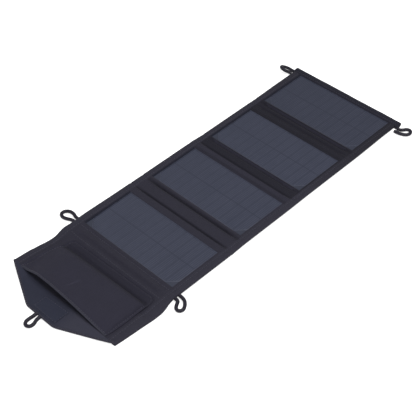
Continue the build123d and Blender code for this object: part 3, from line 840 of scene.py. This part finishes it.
# ---- the far hem ----
def make_hem():
    """The wide hem over the far edge, with two rows of stitches and a turned-in right end."""
    top = PANEL_TOP + 0.7
    width = STRIP_END - HEM_START + 0.6
    profile = [(0, 0.1), (0.05, top - 0.9), (0.5, top - 0.45), (1.8, top - 0.3), (2.6, top - 0.5),
               (3.4, top - 0.15), (width - 3.0, top), (width - 1.2, top - 0.3),
               (width - 0.3, top - 1.2), (width, top / 2 + 0.3), (width - 0.25, 1.4),
               (width - 1.1, 0.5), (width - 2.6, 0.05), (2.0, 0.02)]
    rings = []
    for y in stations(-HEM_HALF - 0.6, HEM_HALF + 0.6, 1.1, (-HEM_HALF, HEM_HALF)):
        over = max(abs(y) - HEM_HALF + 0.9, 0) / 1.5
        shrink = math.sqrt(max(1 - over * over, 0.03))
        wave = 0.12 * math.sin(y / 11.0) + 0.06 * math.sin(y / 4.1 + 1)
        turned_in = 2.2 * float(ease(-y, HEM_HALF - 12, HEM_HALF))
        rings.append([(HEM_START + u + wave * (u > width / 2), y + turned_in * (u / width) ** 2,
                       top / 2 + (z - top / 2) * shrink) for u, z in profile])
    ys = np.linspace(-HEM_HALF + 3, HEM_HALF - 2, 200)
    rows = [stitches(points_at(HEM_START + u, ys, top - depth))
            for u, depth in ((2.6, 0.45), (width - 3.2, 0.02))]
    hem = piece("hem", "binding_tape", (tube(rings), HEM_TAPE), (joined(rows), THREAD))
    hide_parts("far_hem")
    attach(hem, "panel_4")


# ---- the film's edge round each wafer ----
FILM_RISE = 0.32
FILM_BAND = 0.9
WAFER_CORNER = 9.0


def grown(outline, distance):
    """A closed outline of straight sides, moved outwards."""
    one = unit(outline - np.roll(outline, 1, axis=0))
    two = np.roll(one, -1, axis=0)
    out = np.column_stack([one[:, 1] + two[:, 1], -one[:, 0] - two[:, 0]])
    return outline + out * distance / (1 + (one * two).sum(1))[:, None]


def make_film_edge(n):
    """The thick edge of the clear film: it slopes down round the wafer."""
    near, far = WAFERS[n]
    outline = np.array([
        (near + WAFER_CORNER, -WAFER_HALF), (far, -WAFER_HALF), (far, WAFER_HALF),
        (near + WAFER_CORNER, WAFER_HALF), (near, WAFER_HALF - WAFER_CORNER),
        (near, WAFER_CORNER - WAFER_HALF)])
    top = high(f"panel_{n}_cells")[2]
    section = [(0.0, top + FILM_RISE), (FILM_BAND, top + 0.04), (FILM_BAND, top - 0.02),
               (0.0, top - 0.02)]
    points = np.stack([points_at(*grown(outline, out).T, z) for out, z in section], 1)
    edge = piece(f"film_edge_{n}", "laminate", (tube(points, looped=True), FILM_EDGE))
    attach(edge, f"panel_{n}")


# ---- the pocket front ----
MOUTH = POCKET_START + 0.8
RIDGE = CREASES[0] + 1.0         # where the front turns down at its far end
SHOULDER = POCKET_START + 16.0
LIP = smooth((-61, 3.3), (-55, 3.9), (-50, 4.6), (-42, 6.0), (-32, 7.9), (-22, 9.6), (-12, 11.2),
             (-2, 12.3), (6, 13.0), (15, 13.4), (26, 13.5), (34, 13.2), (47, 9.9), (56, 6.8),
             (64, 6.3))
FULL = smooth((-64, 3.4), (-62, 4.6), (-60, 6.6), (-56, 8.9), (-50, 10.4), (-42, 11.3), (-20, 11.8),
              (20, 11.8), (31, 11.6), (40, 10.5), (50, 7.9), (58, 5.6), (64, 4.4))
RIGHT_SEAM = smooth((MOUTH, -62.2), (-185, -63.5), (-167, -63.8), (-140, -63.2))
LEFT_SEAM = smooth((MOUTH, 64.0), (-183, 63.3), (-168, 62.3), (-158, 60.4), (-148, 58.2), (-136, 57.0))
SEAM_CORNER = 7.5                # the sewn far corners are round
FAR_SLANT = 0.02                 # the far seam and the ridge run a little askew
RIDGE_SLANT = 0.03
FALL = smooth((RIDGE - 6.0, 1.0), (RIDGE - 1.5, 0.92), (RIDGE + 2.0, 0.66), (RIDGE + 6.0, 0.2),
              (RIDGE + 8.0, 0.04), (RIDGE + 9.4, 0.0))
FRONT_SKIN = 0.8
ACROSS = 128                     # steps across the front
TOPSTITCH = 2.0                  # the topstitching runs this far inside the front's sewn edge


def far_seam(y):
    """Where the front's far edge is sewn to the fold."""
    return CREASES[0] + 20.6 - FAR_SLANT * y


def front_inset(x, y):
    """Distance inside the front's sewn outline, as far as the corners' radius."""
    along = far_seam(y) - x
    beside = np.minimum(y - RIGHT_SEAM(x), LEFT_SEAM(x) - y)
    return SEAM_CORNER - np.hypot(np.maximum(SEAM_CORNER - along, 0),
                                  np.maximum(SEAM_CORNER - beside, 0))


def front_rim(x, y):
    """Height that the sewn rim adds: a welt at the edge, and a groove along the topstitching."""
    inset = front_inset(x, y)
    welt = 0.4 * (1 - ease(inset, TOPSTITCH - 1.0, TOPSTITCH))
    return welt - 0.6 * np.exp(-((inset - TOPSTITCH) / 0.8) ** 2)


def far_corner(seam, side):
    """Points of the topstitching round a far corner, from its side to its far edge."""
    y = float(seam(far_seam(0.0))) - side * SEAM_CORNER
    turn = np.linspace(0, math.pi / 2, 8)
    radius = SEAM_CORNER - TOPSTITCH
    return np.column_stack([far_seam(y) - SEAM_CORNER + radius * np.sin(turn),
                            y + side * radius * np.cos(turn)])


def topstitch_line():
    """Points along the topstitching: up the right side, across the far end, down the left."""
    right, left = far_corner(RIGHT_SEAM, -1), far_corner(LEFT_SEAM, 1)
    right_xs, left_xs = [stations(MOUTH + 3.0, far[0, 0] - 1.0, 0.5) for far in (right, left)]
    path = np.concatenate([
        np.column_stack([right_xs, RIGHT_SEAM(right_xs) + TOPSTITCH]),
        right,
        np.linspace(right[-1], left[-1], 200)[1:-1],
        left[::-1],
        np.column_stack([left_xs, LEFT_SEAM(left_xs) - TOPSTITCH])[::-1],
    ])
    return np.column_stack([path, front_height(*path.T) + 0.05])


WRINKLE_MIDDLE = (-178, 4.0)     # a small wrinkle near the middle of the front
WRINKLE_SLANT = 0.25


def wrinkle_share(x, y):
    """1 on the wrinkle, 0 away from it."""
    off = y - WRINKLE_MIDDLE[1] + WRINKLE_SLANT * (x - WRINKLE_MIDDLE[0])
    return np.exp(-(off / 0.9) ** 2) * ease(x, -187, -184) * (1 - ease(x, -172, -169))


def painted_highlight_share(x, y):
    """How much painted highlight the wrinkle's crest gets: most at its middle."""
    return 0.09 * wrinkle_share(x, y) * np.exp(-((x - WRINKLE_MIDDLE[0]) / 6) ** 2)


def front_height(x, y):
    """The pocket front's upper face."""
    share = ease(x, MOUTH, SHOULDER)
    arch = LIP(y) * (1 - share) + FULL(y) * share
    base = surface(x, y) + 0.3
    sag = 0.5 * np.exp(-((x + 178) / 9) ** 2 - ((y + 10) / 26) ** 2)
    ripple = 0.10 * np.sin(y / 9.0 + x / 14.0) + 0.06 * np.sin(y / 4.3 - x / 7.0 + 2.0)
    wrinkle = 0.3 * wrinkle_share(x, y)
    past = x + RIDGE_SLANT * y
    groove_and_painted_shade = 0.5 * np.exp(-((past - RIDGE - 7.8) / 1.3) ** 2)
    body = np.maximum(arch - sag + ripple * ease(arch, 4, 9) + wrinkle - base, 0)
    return base + body * FALL(past) + front_rim(x, y) - groove_and_painted_shade


def painted_shade_past_ridge(x, y):
    """How much painted shade the cloth gets past the ridge: most at the slope's foot, some up to the seam."""
    past = x + RIDGE_SLANT * y - RIDGE
    inside = ease(front_inset(x, y), TOPSTITCH, TOPSTITCH + 1.5)
    foot = 0.22 * np.exp(-((past - 6.6) / 2.2) ** 2)
    return (0.19 * ease(past, 2.5, 6.5) + foot) * (0.4 + 0.6 * inside)


def make_pocket_front():
    """The bulged front, sewn down on three sides, gaping at its mouth."""
    along = np.concatenate([np.linspace(0, 0.88, 72), np.linspace(0.88, 1, 24)[1:]])
    even = np.linspace(0, 1, ACROSS)
    steps = 0.5 - 0.5 * np.cos(even * math.pi)
    along, share = grid(along, (steps + even) / 2)       # closer together at the sewn sides
    right, left = RIGHT_SEAM(far_seam(0.0)), LEFT_SEAM(far_seam(0.0))
    side = np.minimum(share, 1 - share) * (left - right)
    cut = SEAM_CORNER - np.sqrt(SEAM_CORNER ** 2 - np.maximum(SEAM_CORNER - side, 0) ** 2)
    far_end = far_seam(right + (left - right) * share) - cut
    x = MOUTH + (far_end - MOUTH) * along
    y = RIGHT_SEAM(x) + (LEFT_SEAM(x) - RIGHT_SEAM(x)) * share
    top = front_height(x, y)
    front = piece("pocket_front_cloth", "coated_fabric",
                  (slab(x, y, top, top - FRONT_SKIN), POCKET_CLOTH),
                  (stitches(topstitch_line()), THREAD))
    # painted shade past the ridge, down the far slope to the seam
    mark(front, "groove_and_painted_shade", np.tile(painted_shade_past_ridge(x, y).ravel(), 2))
    # a painted highlight along the wrinkle's crest
    mark(front, "painted_light", np.tile(painted_highlight_share(x, y).ravel(), 2))
    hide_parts("pocket_front")
    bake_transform(front)


LOOP_RISE = 0.14


def patch_grid(node, step_x, step_y):
    """A grid over a patch's box, and how far inside its outline each point is."""
    start, end = low(node), high(node)
    x, y = grid(stations(start[0], end[0], step_x), stations(start[1], end[1], step_y))
    return x, y, np.minimum(np.minimum(x - start[0], end[0] - x), np.minimum(y - start[1], end[1] - y))


def make_loop_patch():
    """The loop half of the fastener on the pocket front: a thin pile, hardly raised."""
    x, y, inside = patch_grid("pocket_loop_patch", 0.5, 0.6)
    skin = front_height(x, y)
    top = skin + LOOP_RISE * ease(inside, -0.1, 2.5) + 0.02
    patch = piece("pocket_loops", "hook_and_loop", (slab(x, y, top, skin - 0.2), POCKET_CLOTH))
    # the wrinkle's painted highlight runs on over the patch
    mark(patch, "painted_light", np.tile(painted_highlight_share(x, y).ravel(), 2))
    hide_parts("pocket_loop_patch")
    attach(patch, "pocket_section")


def make_mouth_binding():
    """Tape folded over the mouth's edge."""
    ys = np.linspace(float(LEFT_SEAM(MOUTH)) - 0.5, float(RIGHT_SEAM(MOUTH)) + 0.5, 170)
    heights = front_height(np.full_like(ys, MOUTH), ys) - FRONT_SKIN / 2
    over = unit(points_at(0.0, -np.gradient(heights, ys), 1.0))
    inward = np.tile([1.0, 0.0, 0.0], (len(ys), 1))
    tape = binding(points_at(MOUTH + 0.7, ys, heights), inward, over, 1.15, 0.5)
    sewn = stitches(points_at(MOUTH + 1.6, ys, heights + FRONT_SKIN / 2 + 0.25))
    bound = piece("mouth_binding", "binding_tape", (tape, LIP_TAPE), (sewn, THREAD))
    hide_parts("pocket_mouth_binding")
    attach(bound, "pocket_section")


# ---- the flap ----
# its half width at the tip and the start, by side: it lies a little askew
FLAP_HALF = {1: (22.5, HALF), -1: (16.9, 73.4)}
TIP_CORNER = 2.5


def flap_side(x, side):
    """The flap's edge at x, as a distance from the strip's middle line."""
    x = np.asarray(x, float)
    tip, start = FLAP_HALF[side]
    straight = start + (tip - start) * (POCKET_START - x) / (POCKET_START - FLAP_TIP)
    into = np.clip(TIP_CORNER - (x - FLAP_TIP), 0, TIP_CORNER)
    return straight - (TIP_CORNER - np.sqrt(TIP_CORNER ** 2 - into ** 2))


def flap_height(x, y):
    """The flap's upper face: from the lining down to the ground, with a slight wave."""
    drop = smooth((FLAP_TIP, FLAP_TOP + 0.2), (POCKET_START - 8, FLAP_TOP + 0.3),
                  (POCKET_START - 3, FLAP_TOP + 0.7), (POCKET_START + 1, LINING_TOP + 0.05))
    start = surface(np.full_like(x, POCKET_START), y) - LINING_TOP
    return drop(x) + start * ease(x, FLAP_TIP + 8, POCKET_START) ** 2 + 0.12 * np.sin(y / 12 + x / 9)


def make_flap():
    """The flap: cloth that runs out of the pocket's lining, its bound edge and hook patch."""
    rows = np.concatenate([stations(FLAP_TIP + 0.4, FLAP_TIP + 3, 0.25),
                           stations(FLAP_TIP + 3, POCKET_START - 4, 0.9)[1:],
                           stations(POCKET_START - 4, POCKET_START + 1.5, 0.25)[1:]])
    x, share = grid(rows, np.linspace(0, 1, 120))
    left, right = [np.minimum(flap_side(x, side), HALF - 0.5) - 0.4 for side in (1, -1)]
    y = (left + right) * share - right
    top = flap_height(x, y)
    flap = piece("flap_cloth", "coated_fabric", (slab(x, y, top, top - 0.9), LINING))
    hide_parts("flap_fabric")
    edge = make_flap_binding()
    make_hook_patch()
    for made in (flap, edge):
        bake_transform(made)


def make_flap_binding():
    """Tape folded over the flap's three free edges, sewn on."""
    turn = np.linspace(0, math.pi / 2, 9)[1:]
    down = np.concatenate([np.linspace(POCKET_START, FLAP_TIP + TIP_CORNER, 40),
                           FLAP_TIP + TIP_CORNER * (1 - np.sin(turn))])
    left = np.column_stack([down, flap_side(down, 1)])
    right = np.column_stack([down, -flap_side(down, -1)])[::-1]
    outline = np.concatenate([left, np.linspace(left[-1], right[0], 20)[1:-1], right])
    way = unit(np.gradient(outline, axis=0))
    inward = points_at(-way[:, 1], way[:, 0], 0.0)
    centres = points_at(*outline.T, 0.0) + inward * 1.2
    centres[:, 2] = flap_height(centres[:, 0], centres[:, 1]) - 0.4
    over = np.tile([0.0, 0.0, 1.0], (len(centres), 1))
    edge = piece("flap_binding", "binding_tape", (binding(centres, inward, over, 1.25, 0.72), TAPE),
                 (stitches(centres + over * 0.72), THREAD))
    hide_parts("flap_edge_tape")
    return edge


HOOK_MIDDLE = 1.2
HOOK_NARROW = 0.88
HOOK_SLANT = 0.05
HOOK_WAVE = 2.6                  # how close the pile's bumps are


def make_hook_patch():
    """The hook half of the fastener, sewn to the flap a little askew."""
    u, v, inside = patch_grid("flap_hook_patch", 0.5, 0.5)
    x = u + 1.4 - HOOK_SLANT * v * ease(u, u.min(), u.max())
    y = HOOK_MIDDLE + v * HOOK_NARROW
    top = flap_height(x, y)
    pile = 0.18 * np.sin(u * HOOK_WAVE) * np.sin(v * HOOK_WAVE) * (inside > 1.2)
    face = top + 0.55 + pile
    corners = [points_at(x[at], y[at], face[at])[0] for at in ((1, 1), (-2, 1), (-2, -2), (1, -2))]
    path = np.concatenate([np.linspace(a, b, 30) for a, b in zip(corners, corners[1:] + corners[:1])])
    moved = np.linalg.norm(np.diff(path, axis=0), axis=1) > 1e-6
    patch = piece("flap_hooks", "hook_and_loop", (slab(x, y, face, top), HOOK),
                  (stitches(path[np.r_[True, moved]]), THREAD))
    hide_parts("flap_hook_patch")
    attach(patch, "flap")


# ---- the cord loops ----
CORD_DIAMETER = 0.0036
CORD_STEP = 0.0002
CORD_Z = 2.0                     # a cord lies at this height where its route gives none
STRANDS = 4                      # bumps of each hand round the cord, halved
LOOPS = {
    "hinge_left_loop": ("panel_1", 0.0455, [
        (-113.4, 75.0), (-113.4, 79.4), (-111.4, 84.8), (-111.8, 90.6), (-115.6, 94.8),
        (-120.6, 94.6), (-122.6, 89.8), (-121.2, 84.4), (-118.4, 79.4), (-118.4, 75.0)]),
    "hinge_right_loop": ("panel_1", 0.042, [
        (-114.4, -75.0), (-114.4, -79.4), (-115.8, -84.2), (-119.6, -88.2), (-124.2, -91.0),
        (-128.4, -89.2), (-128.4, -84.8), (-124.0, -81.4), (-119.8, -79.6), (-119.8, -75.0)]),
    "far_left_loop": ("panel_4", 0.0365, [
        (215.2, 76.2), (215.2, 80.4), (215.6, 85.0), (213.6, 89.8, 3.0), (208.6, 90.8, 6.0),
        (205.2, 86.2, 7.0), (206.6, 81.6, 5.0), (209.4, 79.4, 3.0), (210.4, 76.2)]),
    "far_right_loop": ("panel_4", 0.0385, [
        (213.2, -76.2), (213.2, -79.8), (216.0, -82.4), (219.6, -84.8), (220.0, -89.2),
        (216.2, -91.8), (211.8, -90.2), (209.2, -85.8), (208.0, -80.6), (208.0, -76.2)]),
    "flap_tip_loop": ("flap", 0.0355, [
        (FLAP_TIP, 7.2), (-226.2, 7.2), (-230.8, 7.6), (-235.2, 7.0), (-237.6, 3.4),
        (-235.8, -0.4), (-231.4, -1.2), (-226.0, 1.6), (FLAP_TIP, 1.6)]),
}


def cord_line(name, route):
    """Points along the smooth line that the route steers."""
    curve = bpy.data.curves.new(name, "CURVE")
    curve.dimensions = "3D"
    curve.resolution_u = 40
    spline = curve.splines.new("NURBS")
    spline.points.add(len(route) - 1)
    for point, place in zip(spline.points, route):
        point.co = (*[c * MM for c in place], 1.0)
    spline.order_u = 3
    spline.use_endpoint_u = True
    holder = bpy.data.objects.new(name + "_line", curve)
    mesh = bpy.data.meshes.new_from_object(holder)
    length, at = walk(read(mesh.vertices, "co", 3))
    bpy.data.objects.remove(holder)
    return at(np.linspace(0, length, round(length / CORD_STEP)))


def make_loop(name, body, length, places):
    """A braided cord: strands of both hands cross over each other round it."""
    route = [(*place, CORD_Z)[:3] for place in places]
    line = cord_line(name, route)
    side, over = side_and_over(unit(np.gradient(line, axis=0)))
    turn = circle(40)
    along = np.arange(len(line))[:, None] * CORD_STEP / (CORD_DIAMETER / 2) * STRANDS
    crest = np.abs(np.cos(STRANDS * turn + along) * np.cos(STRANDS * turn - along)) ** 0.6
    radius = (CORD_DIAMETER / 2) * (0.93 + 0.13 * crest)
    outward = np.cos(turn)[:, None] * side[:, None] + np.sin(turn)[:, None] * over[:, None]
    points, faces = tube(line[:, None] + radius[..., None] * outward)
    cord = piece(name + "_cord", "cord", ((points / MM, faces), CORD))
    # the crest share also paints the cord: highlights on the crests, shade in the valleys
    mark(cord, "crest", crest.ravel())
    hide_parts(name)
    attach(cord, body)
    [c * MM for c in route[0]]


# ---- floor and light ----
def make_floor():
    """A pale floor that the camera sees near white, and that keeps the shadow."""
    bpy.ops.mesh.primitive_plane_add(size=8.0, location=(0, 0, -0.0002))
    floor = bpy.context.object
    floor.name = "floor"
    nodes = Nodes("pale_floor")
    seen = nodes.seen_by("Camera", "Glossy", "Transmission")
    nodes.set(Base_Color=(0.82, 0.82, 0.82, 1), Roughness=0.9, Specular_IOR_Level=0.0,
              Emission_Color=(1, 1, 1, 1), Emission_Strength=nodes.times(seen, 0.6))
    floor.data.materials.append(nodes.owner)


def make_world():
    world = bpy.data.worlds.new("studio")
    bpy.context.scene.world = world
    nodes = Nodes(world)
    strength = nodes.ramp(nodes.seen_by("Camera", "Transmission"), least=0.42)
    nodes.set(Color=(1, 1, 1, 1), Strength=strength)


def make_lamp(name, place, size, power):
    """A square lamp that looks at the middle of the strip."""
    data = bpy.data.lights.new(name, "AREA")
    data.size = size
    data.energy = power
    lamp = bpy.data.objects.new(name, data)
    lamp.location = place
    lamp.rotation_euler = (-Vector(place)).to_track_quat("-Z", "Y").to_euler()
    bpy.context.scene.collection.objects.link(lamp)
    return lamp


# ---- put together ----
for name, (body, length, places) in LOOPS.items():
    make_loop(name, body, length, places)
for n in range(1, len(CREASES) + 1):
    crease_pieces(n)
for n in PANELS:
    make_film_edge(n)
make_hem()
make_pocket_front()
make_loop_patch()
make_mouth_binding()
make_flap()
dress_cad_nodes()
make_floor()
make_world()
make_lamp("key", (0.0, -0.45, 1.05), 0.6, 9.8)
make_lamp("fill", (0.1, 0.6, 1.4), 1.2, 2.5)
low_lamp = make_lamp("low", (-0.75, 0.05, 0.22), 0.4, 1.5)
low_lamp.visible_glossy = False      # it lights the pocket's mouth, without a glare on the cells
bpy.context.scene.view_settings.view_transform = "Standard"
